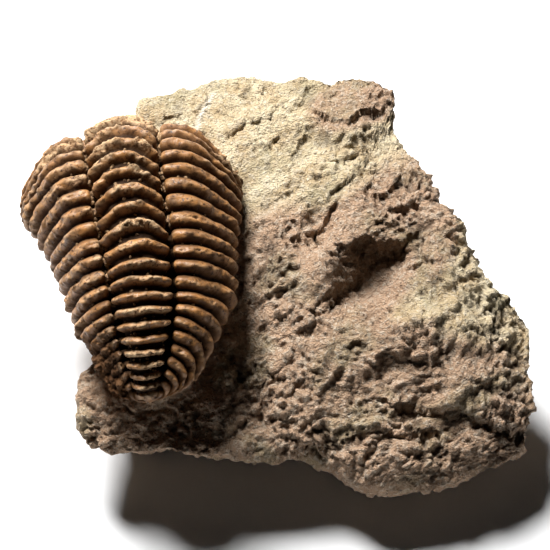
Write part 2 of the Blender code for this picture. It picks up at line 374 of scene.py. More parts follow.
@dataclass(frozen=True)
class BrownCalcite:
    """Shell turned to brown calcite: amber to chestnut with a waxy half gloss, dull and pale where the skin
    is gone, with pale crests that are partly painted highlight, and painted shade in its gaps and on its
    slopes.
    """

    amber: Colour = linear("aa7745")
    chestnut: Colour = linear("765434")
    # Bark colours the bare stone where the skin is lost, the dirt, and the painted shade on the slopes.
    bark: Colour = linear("3f2715")
    pale: Colour = linear("bc9f7a")
    # Groove is painted shade, near black, in the gaps between rings and ribs and in the furrows, and it is
    # also the dark stone among the bare lumps.
    groove: Colour = linear("1c0f06")
    pit: Colour = linear("2c1a0c")
    gloss: float = 0.28
    dull: float = 0.8
    mottle_mm: float = 3.0
    grain_mm: float = 0.7
    fine_mm: float = 0.25
    relief_mm: float = 0.32
    specular: float = 0.38
    dirt_specular: float = 0.05

    def make(self) -> bpy.types.Material:
        """Makes the material, which reads the points' shares of wear and crest highlight, of grooves painted
        dark as shade, and of stains with painted shade on the slopes.
        """
        tree = NodeTree("brown_calcite")
        place = tree.add("TexCoord", out="Object")
        # Mottling is the uneven brown of the shell, and grain is its crystals where the skin is gone.
        mottle = tree.add("TexNoise", {"Vector": place, "Scale": 1 / (self.mottle_mm * MM), "Detail": 5.0,
                                       "Roughness": 0.6})
        grain = tree.add("TexNoise", {"Vector": place, "Scale": 1 / (self.grain_mm * MM), "Detail": 4.0,
                                      "Roughness": 0.65})
        fine = tree.add("TexNoise", {"Vector": place, "Scale": 1 / (self.fine_mm * MM), "Detail": 2.0,
                                     "Roughness": 0.6})
        share = {key: tree.add("Attribute", out="Fac", attribute_name=key)
                 for key in ("wear_and_highlight", "groove", "stain_and_shade")}
        amberness = tree.add("MapRange", {"Value": mottle, "From Min": 0.32, "From Max": 0.68})
        # Pale crystals show where the skin is gone, and along the crests as painted highlight.
        crystals = tree.add("MapRange", {"Value": grain, "From Min": 0.38, "From Max": 0.56})
        crystals = tree.add("Math", {0: share["wear_and_highlight"], 1: crystals}, operation="MULTIPLY")
        pits = tree.add("MapRange", {"Value": grain, "From Min": 0.45, "From Max": 0.36, "To Max": 0.85})
        shell = self.chestnut
        for layer, colour in ((amberness, self.amber), (crystals, self.pale), (pits, self.pit),
                              (share["stain_and_shade"], self.bark), (share["groove"], self.groove)):
            shell = tree.add("Mix", {0: layer, 6: shell, 7: colour}, out=2, data_type="RGBA")
        # The grooves and slopes painted dark as shade, and the stained places, lose their gloss.
        dirt = tree.add("Math", {0: share["stain_and_shade"], 1: share["groove"]}, operation="MAXIMUM")
        shine = tree.add("MapRange", {"Value": dirt, "To Min": self.specular, "To Max": self.dirt_specular})
        rough = tree.add("Math", {0: share["wear_and_highlight"], 1: dirt}, operation="MAXIMUM")
        rough = tree.add("MapRange", {"Value": rough, "To Min": self.gloss, "To Max": self.dull})
        # The skin stays fairly smooth. Worn places are as grainy as broken sugar.
        graininess = tree.add("Math", {0: share["wear_and_highlight"], 1: 0.2})
        fineness = tree.add("Math", {0: fine, 1: 0.35}, operation="MULTIPLY")
        height = tree.add("Math", {0: grain, 1: graininess, 2: fineness}, operation="MULTIPLY_ADD")
        bump = tree.add("Bump", {"Height": height, "Distance": self.relief_mm * MM, "Strength": 1.0})
        return tree.close(Base_Color=shell, Roughness=rough, Specular_IOR_Level=shine, Normal=bump)


@dataclass(frozen=True)
class FurrowGrit:
    """Grains of pale stone left in the furrows: sugary, dull and the colour of sand."""

    sand: Colour = linear("9c7b55")
    dust: Colour = linear("543c27")
    roughness: float = 0.85
    grain_mm: float = 0.6

    def make(self) -> bpy.types.Material:
        """Makes the material."""
        tree = NodeTree("furrow_grit")
        place = tree.add("TexCoord", out="Object")
        grain = tree.add("TexNoise", {"Vector": place, "Scale": 1 / (self.grain_mm * MM), "Detail": 4.0})
        dustiness = tree.add("MapRange", {"Value": grain, "From Min": 0.6, "From Max": 0.4})
        colour = tree.add("Mix", {0: dustiness, 6: self.sand, 7: self.dust}, out=2, data_type="RGBA")
        return tree.close(Base_Color=colour, Roughness=self.roughness)


@dataclass(frozen=True)
class PaleFloor:
    """A plain white card floor, matt and even."""

    white: Colour = linear("f6f6f6")
    roughness: float = 0.9

    def make(self) -> bpy.types.Material:
        """Makes the material."""
        return NodeTree("white_card").close(Base_Color=self.white, Roughness=self.roughness)


@dataclass(frozen=True)
class Patch:
    """An oval patch of the block's top, such as a dip, a lump, a stained place or painted shade.

    The length and width are half its sizes, the heading is its length's direction in degrees from +X, and
    the strength is its height in millimetres or its share of a colour.
    """

    x: float
    y: float
    length: float
    width: float
    heading: float
    strength: float
    sharpness: float

    def at(self, x: Array, y: Array) -> Array:
        """Gives its strength at each place: all of it in the middle, and none well outside its edge."""
        turn = math.radians(self.heading)
        along = ((x - self.x) * math.cos(turn) + (y - self.y) * math.sin(turn)) / self.length
        across = ((y - self.y) * math.cos(turn) - (x - self.x) * math.sin(turn)) / self.width
        return self.strength * np.exp(-((along**2 + across**2) ** self.sharpness))


@dataclass(frozen=True)
class Ledge:
    """A step broken into the block's top: it drops on the right of its heading and eases back up."""

    x: float
    y: float
    half_length: float
    heading: float
    drop: float
    run: float
    edge: float = 0.45

    def at(self, x: Array, y: Array) -> Array:
        """Gives its height at each place."""
        turn = math.radians(self.heading)
        along = (x - self.x) * math.cos(turn) + (y - self.y) * math.sin(turn)
        across = (x - self.x) * math.sin(turn) - (y - self.y) * math.cos(turn)
        ends = np.exp(-((along / self.half_length) ** 4))
        back = np.exp(-np.maximum(across, 0) / self.run)
        return -self.drop * smooth_step(0.0, self.edge, across) * back * ends


@dataclass
class LimestoneBlock:
    """The block of stone: a broken top, walls that taper inward below the rim, and a flat base."""

    finish: BrokenLimestone
    centre: tuple[float, float] = (4, -1)
    # Where the block is widest: x, y and height of each corner.
    rim: Sequence[tuple[float, float, float]] = (
        (50.5, -11, 19.5), (51, -19.5, 17), (51, -27, 14.5), (50.2, -31.8, 12.5), (49, -35, 10.5),
        (45, -37.6, 10.5), (39, -39.6, 10), (33, -42.3, 9.5), (26, -43, 9.5), (16, -41.5, 8.5),
        (10, -39, 9.5), (5, -37.5, 12), (1, -38, 13), (-9, -37, 15), (-22, -36, 15.5), (-34, -36, 14),
        (-38, -33, 14), (-39, -30.5, 14.5), (-39.5, -22.5, 16.5), (-37, -20, 18), (-36, -12, 18),
        (-36, 0, 18), (-35, 14, 19), (-32, 26, 21), (-28.5, 35, 24), (-28, 38.5, 25), (-23, 39.5, 26),
        (-17, 40.5, 27), (-12.5, 42.2, 28), (2, 41, 29), (5, 41.7, 29.5), (10.5, 40.5, 29.5),
        (14, 40.6, 31), (21, 40, 31), (24.5, 37.3, 30), (24.4, 33.5, 29), (24, 30, 27.5),
        (27.5, 24.5, 26), (32, 18, 26), (33.5, 13.5, 26), (35.5, 12.2, 25.5), (39, 5.4, 24),
        (41.5, -0.2, 23), (42.5, -2.3, 22.5), (46, -5.1, 21.5),
    )
    # The broken planes of the top: height above the origin, and slopes along X and Y.
    planes: Sequence[tuple[float, float, float]] = (
        (30.5, -0.02, -0.03), (31.0, 0.0, 0.37), (47.5, -0.55, 0.10),
    )
    plane_blend: float = 0.9
    # The hollows and lumps of the top.
    relief: Sequence[Patch] = (
        Patch(20, -2, 10, 5, 42, -6.6, 1.2),
        Patch(8, 6, 6, 2.5, 80, -2.8, 1.0),
        Patch(29, -16, 11, 5, 15, 2.0, 1.5),
        Patch(16, 34, 10, 7, 10, 2.6, 3.0),
        Patch(-5, -12, 20, 4, 96, -3.0, 1.0),
        Patch(-24, -2, 34, 18, 92, -3.0, 2.0),
        Patch(30, -27, 5, 3, 15, -2.0, 1.5),
        Patch(10, -22, 9, 6, 30, 1.5, 1.0),
        Patch(34, -25, 7, 4, 18, 1.8, 1.5),
    )
    # The stone left under the trilobite: its footprint, and its height above the ground.
    pedestal: Patch = Patch(-25.5, -8, 19, 11, 95, 1.0, 4.0)
    pedestal_height: float = 30.5
    ledges: Sequence[Ledge] = (
        Ledge(21, 4.5, 7.0, 12, 3.8, 4.5),
        Ledge(13, -6, 6.0, 52, 2.2, 3.0),
        Ledge(26, 11, 5.0, 30, 1.8, 3.0),
        Ledge(14, 17, 6.0, 35, 1.5, 3.5),
        Ledge(9.5, 8, 5.0, 62, 2.0, 2.0),
        Ledge(10, 32, 4.5, -28, 1.5, 2.0),
        Ledge(19, 33, 6.0, 25, 2.0, 3.0),
        Ledge(22, 15, 3.5, 40, 1.6, 1.8),
        Ledge(-8.6, 28.8, 2.8, 43, 1.3, 1.6),
        Ledge(4.4, 21.6, 3.0, 40, 0.7, 1.5),
        Ledge(17, 24, 8.0, 17, 0.9, 2.5),
        Ledge(-5.3, 16.7, 2.4, 25, 0.9, 1.2),
        Ledge(6.4, 3.8, 3.2, 20, 1.4, 1.6),
        Ledge(7, -11, 4.0, 60, 1.5, 2.2),
        Ledge(3, -24, 5.2, -26, 1.3, 2.0),
        Ledge(30, -29.0, 8.0, -6, 3.0, 3.2),
        Ledge(45, -31.5, 7.0, -6, 3.6, 3.2),
        Ledge(24, -33.5, 9.0, 6, 1.1, 2.0),
        Ledge(34, -12, 8.0, 35, 0.8, 3.0),
    )
    # The stains are the pink far corner and the pale flat on the right, and the last patch is painted shade
    # in the main hollow.
    pink_corner: Patch = Patch(16, 35, 10, 7, 10, 0.9, 3.0)
    pale_flat: Patch = Patch(31, -10, 9, 5, 15, 0.9, 1.5)
    hollow_shade: Patch = Patch(19, -1, 8, 4.5, 42, 0.6, 1.2)
    small_ledges: int = 170
    # How far the ledges' lines stray from straight, and the size of their bends.
    ledge_bend: float = 1.5
    bend_size: float = 4.0
    top_grid: int = 250
    wall_steps: int = 36
    base_share: float = 0.74
    rim_sharpness: float = 16
    # How dark the painted shade on the walls is, and how far below the rim it starts and is full.
    wall_shade: float = 0.45
    wall_shade_from: float = 0.5
    wall_shade_full: float = 3.0

    def rim_at(self, angle: Array) -> tuple[Array, Array]:
        """Gives the block's plan radius and rim height in each direction from its centre."""
        corners = np.array(self.rim, float)
        across = corners[:, 0] - self.centre[0]
        along = corners[:, 1] - self.centre[1]
        turns = np.arctan2(along, across)
        order = np.argsort(turns)
        radius = np.interp(angle, turns[order], np.hypot(across, along)[order], period=2 * math.pi)
        height = np.interp(angle, turns[order], corners[order, 2], period=2 * math.pi)
        return radius, height

    def top_height(self, x: Array, y: Array) -> Array:
        """Gives the height of the broken top at each place."""
        planes = [height + along_x * x + along_y * y for height, along_x, along_y in self.planes]
        top = -self.plane_blend * np.log(sum(np.exp(-plane / self.plane_blend) for plane in planes))
        for feature in self.relief:
            top = top + feature.at(x, y)
        top = top + np.maximum(self.pedestal_height - top, 0) * self.pedestal.at(x, y)
        places = np.stack([x, y, np.zeros_like(x)], axis=1)
        bent_x = x + self.ledge_bend * fractal_at(places, self.bend_size, 101, 3)
        bent_y = y + self.ledge_bend * fractal_at(places, self.bend_size, 103, 3)
        for ledge in (*self.ledges, *self.scattered_ledges()):
            top = top + ledge.at(bent_x, bent_y)
        return top

    def scattered_ledges(self) -> list[Ledge]:
        """Makes the many small ledges, which mostly rise to the right and grow rougher towards the front."""
        draw = random.Random(7)
        ledges = []
        for _ in range(self.small_ledges):
            x, y = draw.uniform(-38, 50), draw.uniform(-40, 41)
            rough = 0.75 + 0.25 * min(max((x - y + 20) / 45, 0), 1)
            ledges.append(Ledge(x, y, draw.uniform(1.6, 6.5), draw.gauss(36, 26),
                                draw.uniform(0.3, 1.1) * rough, draw.uniform(1.0, 4.0), 0.35))
        return ledges

    def shape(self) -> bmesh.types.BMesh:
        """Makes the plain block: a grid for the top, its border drawn down to the base, and a flat base.

        Returns:
            The mesh editor, with the base's points last.
        """
        editor = bmesh.new()
        bmesh.ops.create_grid(editor, x_segments=self.top_grid, y_segments=self.top_grid, size=1.0)
        square = points_of(editor)
        disc_x = square[:, 0] * np.sqrt(1 - square[:, 1]**2 / 2)
        disc_y = square[:, 1] * np.sqrt(1 - square[:, 0]**2 / 2)
        share = np.minimum(np.hypot(disc_x, disc_y), 1.0)
        angle = np.arctan2(disc_y, disc_x)
        radius, rim_height = self.rim_at(angle)
        x = self.centre[0] + share * radius * np.cos(angle)
        y = self.centre[1] + share * radius * np.sin(angle)
        rounding = np.sqrt(1 - share**self.rim_sharpness)
        z = rim_height + (self.top_height(x, y) - rim_height) * rounding
        place_points(editor, np.stack([x, y, z], axis=1))
        self.draw_walls(editor)
        return editor

    def draw_walls(self, editor: bmesh.types.BMesh) -> None:
        """Draws the top's border down and inward in steps, and closes it with one flat face."""
        ring = [edge for edge in editor.edges if edge.is_boundary]
        centre = Vector((*self.centre, 0.0))
        for step in range(1, self.wall_steps + 1):
            grown = bmesh.ops.extrude_edge_only(editor, edges=ring)["geom"]
            ring = [item for item in grown if isinstance(item, bmesh.types.BMEdge)]
            way, before = step / self.wall_steps, (step - 1) / self.wall_steps
            taper = 1 - self.base_share
            shrink = (1 - taper * way) / (1 - taper * before)
            drop = (1 - way) / (1 - before)
            for vertex in (item for item in grown if isinstance(item, bmesh.types.BMVert)):
                vertex.co.x = centre.x + (vertex.co.x - centre.x) * shrink
                vertex.co.y = centre.y + (vertex.co.y - centre.y) * shrink
                vertex.co.z *= drop
        bmesh.ops.edgeloop_fill(editor, edges=ring)
        face_outward(editor)

    def swell_at(self, points: Array) -> Array:
        """Gives the broadest lumps of the break."""
        return 1.1 * noise_at(points, 13.0, 3)

    def roughness_at(self, points: Array) -> Array:
        """Gives how far the break stands out from the plain block at each point.

        Coarse lumps come first, then scoops from the breaking, then sandy grain, stronger where it is rough.
        """
        drift = 9 * noise_at(points, 12.0, 19)
        rough = 0.6 + 0.4 * smooth_step(-24, 8, points[:, 0] - points[:, 1] + drift)
        rugged = 0.55 + 0.7 * smooth_step(-0.25, 0.3, noise_at(points, 8.0, 109))
        coarse = self.swell_at(points) + 0.5 * noise_at(points, 5.0, 3)
        leaning = stretched(points, 38, 1.5)
        broken = 1.5 * scoops_at(leaning, 9.0, 5) + 0.7 * scoops_at(leaning, 3.6, 7)
        chips = 1.7 * crumble_at(points, 2.6, 11, 3) + 0.45 * fractal_at(points, 0.9, 17, 2)
        return coarse + rough * (broken + rugged * chips)

    def colour_shares(self, points: Array) -> dict[str, Array]:
        """Gives the shares of the stone's colours at each point.

        Pink covers the front and the far corner, but not the two pale breaks on the right. Green is in
        patches all over, and one thin white vein crosses the far left.
        """
        x, y = points[:, 0], points[:, 1]
        drift = 7 * noise_at(points, 14.0, 41)
        pink = smooth_step(17, 6, y - 0.8 * np.clip(x - 10, 0, 30) + 0.6 * drift)
        corner = self.pink_corner.at(x, y + 0.3 * drift)
        facet = 0.9 * smooth_step(31, 36, x - 0.25 * y + 0.4 * drift) * smooth_step(-22, -12, y)
        pink = np.maximum(pink, corner) * (1 - np.maximum(facet, self.pale_flat.at(x, y)))
        green = 0.6 * smooth_step(0.05, 0.4, noise_at(points, 9.0, 47))
        line_x = -13 - 5 * (38 - y) / 14
        vein = np.exp(-((x - line_x - noise_at(points, 3.0, 53)) / 0.7) ** 2)
        vein = vein * smooth_step(22, 25, y) * smooth_step(40, 37, y) * smooth_step(20, 24, points[:, 2])
        return {"pink": pink, "green": green, "vein": 0.9 * vein}

    def wall_share(self, points: Array) -> Array:
        """Gives 1 on the walls below the rim and 0 on the top."""
        across, along = points[:, 0] - self.centre[0], points[:, 1] - self.centre[1]
        radius, rim_height = self.rim_at(np.arctan2(along, across))
        outer = smooth_step(self.base_share - 0.12, self.base_share - 0.06, np.hypot(across, along) / radius)
        return outer * smooth_step(self.wall_shade_from, self.wall_shade_full, rim_height - points[:, 2])

    def build(self) -> bpy.types.Object:
        """Builds the block and puts it in the CAD block's place."""
        editor = self.shape()
        points = points_of(editor)
        off_ground = smooth_step(0.0, 1.5, points[:, 2])
        stands_out = self.roughness_at(points) * off_ground
        push_out(editor, stands_out)
        for vertex in editor.verts:
            vertex.co.z = max(vertex.co.z, 0.0)
        shares = self.colour_shares(points_of(editor))
        # Painted shade: the low places of the break, the main hollow and the walls below the rim are painted
        # dark.
        low = smooth_step(-0.1, -1.2, stands_out - self.swell_at(points))
        dark = np.maximum(0.75 * low, self.hollow_shade.at(points[:, 0], points[:, 1]))
        shares["painted_shade"] = np.maximum(dark, self.wall_shade * self.wall_share(points))
        piece = finish_mesh("broken_block", editor, self.finish.make(), shares)
        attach(piece, "root")
        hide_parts("rock_matrix")
        report(piece)
        return piece


class Crumbs:
    """Small angular grains of stone, gathered into one piece."""

    def __init__(self, name: str, seed: int) -> None:
        """Starts an empty piece.

        Args:
            name: the piece's name.
            seed: which random draws.
        """
        self.name = name
        self.draw = random.Random(seed)
        self.editor = bmesh.new()

    def scatter(self, places: Array, count: int, least: float, most: float) -> None:
        """Sets grains at places drawn at random.

        Args:
            places: where grains may lie, one row each.
            count: how many grains.
            least: the smallest radius.
            most: the largest radius.
        """
        for _ in range(count):
            place = Vector(places[self.draw.randrange(len(places))])
            radius = self.draw.uniform(least, most)
            turn = Euler([self.draw.uniform(0, math.tau) for _ in range(3)]).to_matrix().to_4x4()
            squeeze = Matrix.Diagonal([self.draw.uniform(0.7, 1.3) for _ in range(3)]).to_4x4()
            matrix = Matrix.Translation(place) @ turn @ squeeze
            bmesh.ops.create_icosphere(self.editor, subdivisions=1, radius=radius, matrix=matrix)

    def finish(self, material: bpy.types.Material) -> bpy.types.Object:
        """Turns the grains into one piece.

        Args:
            material: what covers them.

        Returns:
            The new object.
        """
        piece = finish_mesh(self.name, self.editor, material, smooth=False)
        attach(piece, "root")
        return piece


@dataclass(frozen=True)
class BodyPoints:
    """Where points lie on the trilobite's body.

    The station runs along the back from the tail tip. The head share runs from 0 at the last ring to 1 at
    the snout. The way round runs from 0 at the crest to 1 at the middle of the belly.
    """

    station: Array
    head: Array
    side: Array
    way: Array


@dataclass(frozen=True)
class Segments:
    """Where points lie among the trilobite's rings and ribs.

    The share into the axis runs from 0 at the crest of the back to 1 at the furrow, and the share outward
    from 0 at the furrow to 1 at the flank's edge. The share from the crest runs from 0 on top of a ring or
    rib to 1 between two. The fade is 1 on rings and ribs, and 0 on the belly, the head and the tail tip.
    """

    on_axis: Array
    in_axis: Array
    outward: Array
    from_crest: Array
    on_back: Array
    fade: Array


@dataclass
class CalciteTrilobite:
    """The trilobite: a three-lobed body of rings and ribs, a fused tail shield and a head bent down."""

    finish: BrownCalcite
    sand: FurrowGrit
    back_stations: Sequence[float] = (0, 6, 20, 40, 50, 65)
    back_rise: Sequence[float] = (62, 46, 21, 3, -5, -42)
    size_stations: Sequence[float] = (0, 1, 3, 6, 10, 15, 20, 28, 36, 44, 52, 65)
    half_width: Sequence[float] = (0, 4.6, 7.4, 9.4, 11.8, 13.8, 15.6, 17.8, 19.4, 20.6, 21.0, 20.6)
    flank_depth: Sequence[float] = (0, 0.8, 2.2, 4.2, 6.5, 9.0, 11.0, 13.5, 15.0, 16.0, 16.4, 16.2)
    # The shares of the half width on the two sides, because the animal is a little crushed.
    side_stations: Sequence[float] = (0, 10, 20, 28, 36, 44, 52, 65)
    left_share: Sequence[float] = (1, 0.95, 0.86, 0.84, 0.83, 0.87, 0.985, 1.0)
    right_share: Sequence[float] = (1, 1.01, 0.98, 0.94, 0.90, 0.91, 0.95, 1.0)
    axis_stations: Sequence[float] = (0, 10, 20, 30, 65)
    axis_half_width: Sequence[float] = (2.0, 4.4, 5.8, 6.5, 7.2)
    axis_arch: float = 3.8
    belly_bulge: float = 1.5
    bend_stations: Sequence[float] = (0, 10, 20, 35, 50, 65)
    side_bend: Sequence[float] = (0, 1.2, 2.0, 1.6, 0.6, 0)
    head_length: float = 9.0
    head_centre_depth: float = 9.0
    tail_pitch: float = 2.0
    thorax_pitch: float = 3.9
    first_ring: float = 3.0
    thorax_from: float = 40.0
    ring_relief: float = 1.8
    rib_relief: float = 1.5
    rib_end: float = 1.0
    furrow_depth: float = 2.0
    furrow_half_width: float = 0.75
    rib_sweep: float = 8.5
    rib_droop: float = 1.5
    ring_bow: float = 2.3
    notch_places: Sequence[float] = (0.28, 0.44)
    eye_head: float = 0.33
    eye_way: float = 0.42
    eye_radius: float = 1.9
    tail_tip: tuple[float, float, float] = (-25.0, -33.0, 28.5)
    roll: float = -6.0
    yaw: float = 5.0
    # The body is a sphere drawn out of shape. The last of its rows make the head. The way round a
    # section runs over the axis, then the flank, then the belly.
    rows: int = 330
    around: int = 280
    row_ease: float = 0.06
    cap_share: float = 10 / 96
    axis_way: float = 0.2
    flank_way: float = 0.75

    def back_line(self, stations: Array) -> tuple[Array, Array, Array]:
        """Gives the crest's places along Y and Z, and its rise in radians, at each station."""
        fine = np.linspace(0, self.back_stations[-1], 600)
        rise = np.radians(np.interp(fine, self.back_stations, self.back_rise))
        along = np.concatenate([[0], np.cumsum(np.cos(rise[:-1]) * fine[1])])
        up = np.concatenate([[0], np.cumsum(np.sin(rise[:-1]) * fine[1])])
        return tuple(np.interp(stations, fine, values) for values in (along, up, rise))

    def ring_count(self, stations: Array) -> Array:
        """Counts the rings from the tail's first one to each station, as a running phase."""
        growth = (self.thorax_pitch - self.tail_pitch) / (self.thorax_from - self.first_ring)
        tail_part = np.clip(stations, 0, self.thorax_from) - self.first_ring
        tail_rings = np.log1p(np.maximum(tail_part, -1) * growth / self.tail_pitch) / growth
        return tail_rings + np.maximum(stations - self.thorax_from, 0) / self.thorax_pitch

    def read_sphere(self, points: Array) -> BodyPoints:
        """Turns a unit sphere's points into places on the body. Its bottom pole is the tail tip."""
        row = np.arccos(np.clip(-points[:, 2], -1, 1)) / math.pi
        body_share = np.clip(row / (1 - self.cap_share), 0, 1)
        eased = body_share - self.row_ease * np.sin(math.pi * body_share) * (1 - body_share)
        head = np.clip((row - 1 + self.cap_share) / self.cap_share, 0, 1)
        round_way = np.arctan2(points[:, 0], points[:, 1]) / math.pi
        return BodyPoints(self.back_stations[-1] * eased, head, np.sign(round_way), np.abs(round_way))

    def section(self, where: BodyPoints) -> tuple[Array, Array, Array]:
        """Gives each point's sideways and downward distances in its section, and the axis's half width."""
        left = np.interp(where.station, self.side_stations, self.left_share)
        right = np.interp(where.station, self.side_stations, self.right_share)
        width = np.interp(where.station, self.size_stations, self.half_width)
        width = width * np.where(where.side < 0, left, right)
        depth = np.interp(where.station, self.size_stations, self.flank_depth)
        axis = np.minimum(np.interp(where.station, self.axis_stations, self.axis_half_width), 0.45 * width)
        arch = np.minimum(self.axis_arch, 0.34 * depth)
        in_axis = np.clip(where.way / self.axis_way, 0, 1)
        in_flank = np.clip((where.way - self.axis_way) / (self.flank_way - self.axis_way), 0, 1)
        in_belly = np.clip((where.way - self.flank_way) / (1 - self.flank_way), 0, 1) * math.pi / 2
        flank_turn = in_flank * math.pi / 2
        sideways = (axis * in_axis + (width - axis) * np.sin(flank_turn)) * np.cos(in_belly)
        down = arch * (0.6 * in_axis**2 + 0.4 * in_axis**4)
        down = down + (depth - arch) * (1 - np.cos(flank_turn))
        down = down - 0.09 * depth * np.sin(math.pi * np.clip(in_flank / 0.55, 0, 1))
        down = down + np.minimum(self.belly_bulge, 0.2 * depth) * np.sin(in_belly)
        return sideways, down, axis

    def plain_points(self, where: BodyPoints) -> tuple[Array, Array, Array]:
        """Gives the smooth body's points in its own frame, with the sideways distances and axis widths."""
        sideways, down, axis = self.section(where)
        turn = where.head * math.pi / 2
        sideways = sideways * np.cos(turn)
        down = self.head_centre_depth + (down - self.head_centre_depth) * np.cos(turn)
        forward = self.head_length * np.sin(turn)
        along, up, rise = self.back_line(where.station)
        bend = np.interp(where.station, self.bend_stations, self.side_bend)
        points = np.stack([
            where.side * sideways + bend,
            along + forward * np.cos(rise) + down * np.sin(rise),
            up + forward * np.sin(rise) - down * np.cos(rise),
        ], axis=1)
        return points, sideways, axis

    def segments_at(self, where: BodyPoints, points: Array) -> Segments:
        """Gives how the points lie among the rings and ribs, which bow, sweep back and wander a little.

        Args:
            where: the points' places on the body.
            points: the smooth body's points.

        Returns:
            The places among the rings and ribs.
        """
        station, way = where.station, where.way
        in_axis = np.clip(way / self.axis_way, 0, 1)
        outward = np.clip((way - self.axis_way) / (self.flank_way - self.axis_way), 0, 1)
        on_axis = way < self.axis_way
        wander = 0.5 * noise_at(points, 9.0, 61) + 0.3 * noise_at(points, 3.5, 67)
        bow = self.ring_bow * smooth_step(15, 52, station) * (1 - smooth_step(0.2, 0.9, in_axis))
        sweep = self.rib_sweep * outward**1.5 * np.clip(1 - station / 30, 0, 1)
        sweep = sweep + self.rib_droop * outward**2 + 0.5 * np.sin(math.pi * outward)
        phase = self.ring_count(np.where(on_axis, station - bow, station + sweep) + wander)
        from_crest = np.abs(2 * (phase % 1.0) - 1)
        on_back = np.clip((0.86 - way) / 0.1, 0, 1)
        in_head = smooth_step(0.0, 0.12, where.head)
        fade = on_back * (1 - in_head) * np.clip(station / 4, 0, 1)
        return Segments(on_axis, in_axis, outward, from_crest, on_back, fade)

    def rings_and_ribs(self, where: BodyPoints, parts: Segments, points: Array, furrow: Array) -> Array:
        """Gives how far the rings and ribs stand out, with the furrows beside the axis cut in.

        Args:
            where: the points' places on the body.
            parts: their places among the rings and ribs.
            points: the smooth body's points.
            furrow: the share of furrow at each point.

        Returns:
            The distances out.
        """
        station, way, outward, from_crest = where.station, where.way, parts.outward, parts.from_crest
        ring = (1 - np.clip(from_crest / 0.66, 0, 1) ** 2.1) ** 0.8
        rib = (1 - np.clip(from_crest / 0.9, 0, 1) ** 2.3) ** 0.8
        uneven = 1 + 0.3 * noise_at(points, 6.0, 69) + 0.25 * noise_at(points, 1.8, 79)
        ring_height = np.minimum(self.ring_relief, 0.7 + 0.06 * station) * uneven
        rib_height = self.rib_relief * (0.8 + 0.2 * outward) * uneven
        knob = 0.5 * np.exp(-((outward - 0.1) / 0.09) ** 2)
        second_furrow = 0.25 * np.exp(-((from_crest - 0.25 - outward) / 0.12) ** 2)
        second_furrow = second_furrow * smooth_step(0.2, 0.5, outward)
        flank = (rib_height + knob) * rib - second_furrow
        height = np.where(parts.on_axis, ring_height * ring, flank) * parts.fade
        height = height - self.furrow_depth * furrow * parts.fade * np.clip(station / 10, 0, 1)
        end = smooth_step(0.55, 0.72, way) * smooth_step(0.86, 0.76, way) * parts.fade
        return height + self.rib_end * end * (rib - 0.5)

    def wear_and_highlight_at(self, where: BodyPoints, parts: Segments, points: Array, grain: Array) -> Array:
        """Gives the share of wear: along the axis, over the left ribs and on the crests, where the pale lines
        are partly wear and partly painted highlight.

        Args:
            where: the points' places on the body.
            parts: their places among the rings and ribs.
            points: the smooth body's points.
            grain: the shell's grain at each point.

        Returns:
            The shares.
        """
        fade, from_crest = parts.fade, parts.from_crest
        wear_and_highlight = smooth_step(-0.3, 0.4, noise_at(points, 4.0, 71) + 0.45 * grain) * fade
        middle = smooth_step(0.95, 0.5, parts.in_axis) * smooth_step(0.85, 0.3, from_crest)
        near_furrow = np.maximum(0.75 * smooth_step(0.45, 0.05, parts.outward), 0.45) * (where.side < 0)
        wear_and_highlight = wear_and_highlight * np.where(parts.on_axis, middle, near_furrow)
        # The crests get pale lines, partly wear and partly painted highlight.
        rubbed_crest_highlight = smooth_step(0.4, 0.0, from_crest) * smooth_step(-0.3, 0.3, noise_at(points, 1.6, 113)) * fade
        return np.maximum(wear_and_highlight, 0.4 * rubbed_crest_highlight)

    def skinned_at(self, where: BodyPoints, parts: Segments, points: Array) -> Array:
        """Gives the share of lost skin, on the left of the tail shield, where lumps of dark stone show.

        Args:
            where: the points' places on the body.
            parts: their places among the rings and ribs.
            points: the smooth body's points.

        Returns:
            The shares.
        """
        skinned = smooth_step(16, 11, where.station + 2 * noise_at(points, 4.0, 97)) * (where.side < 0)
        return skinned * smooth_step(0.0, 0.2, parts.outward) * parts.on_back

    def relief(self, where: BodyPoints, points: Array, sideways: Array,
               axis: Array) -> tuple[Array, dict[str, Array]]:
        """Gives how far rings, ribs, furrows and wear stand out, and the shares of the shell's colours.

        Args:
            where: the points' places on the body.
            points: the smooth body's points.
            sideways: how far each point is from the middle.
            axis: the axis's half width at each point.

        Returns:
            The distances out, and the shares.
        """
        parts = self.segments_at(where, points)
        fade, from_crest = parts.fade, parts.from_crest
        furrow = np.exp(-((sideways - axis) / self.furrow_half_width) ** 2)
        height = self.rings_and_ribs(where, parts, points, furrow)
        grain = fractal_at(points, 1.3, 73, 3)
        pits = smooth_step(0.1, 0.4, noise_at(points, 1.0, 83))
        wear_and_highlight = self.wear_and_highlight_at(where, parts, points, grain)
        # The shell beside the head is old and dull.
        old = smooth_step(56, 62, where.station) * smooth_step(0.2, 0.6, noise_at(points, 7.0, 89) + 0.4)
        skinned = self.skinned_at(where, parts, points)
        lumps = scoops_at(points, 3.2, 99)
        height = height * (1 - 0.75 * skinned) - skinned * (0.6 + 1.3 * lumps)
        height = height + 0.16 * grain + np.maximum(wear_and_highlight, 0.8 * old) * (0.55 * grain - 0.6 * pits)
        height = height + skinned * 0.3 * grain
        # Painted shade: the slopes down from the crests are painted darker. The stain share also holds the
        # bare stone and dirt.
        slope_shade = smooth_step(0.15, 0.75, from_crest + 0.25 * grain) * fade
        dirt = smooth_step(0.0, 0.6, noise_at(points, 1.5, 107) + 0.3 * grain) * fade
        stain_and_shade = np.maximum(0.85 * skinned, np.maximum(0.8 * slope_shade, 0.6 * dirt))
        height = height + self.head_relief(where, points)
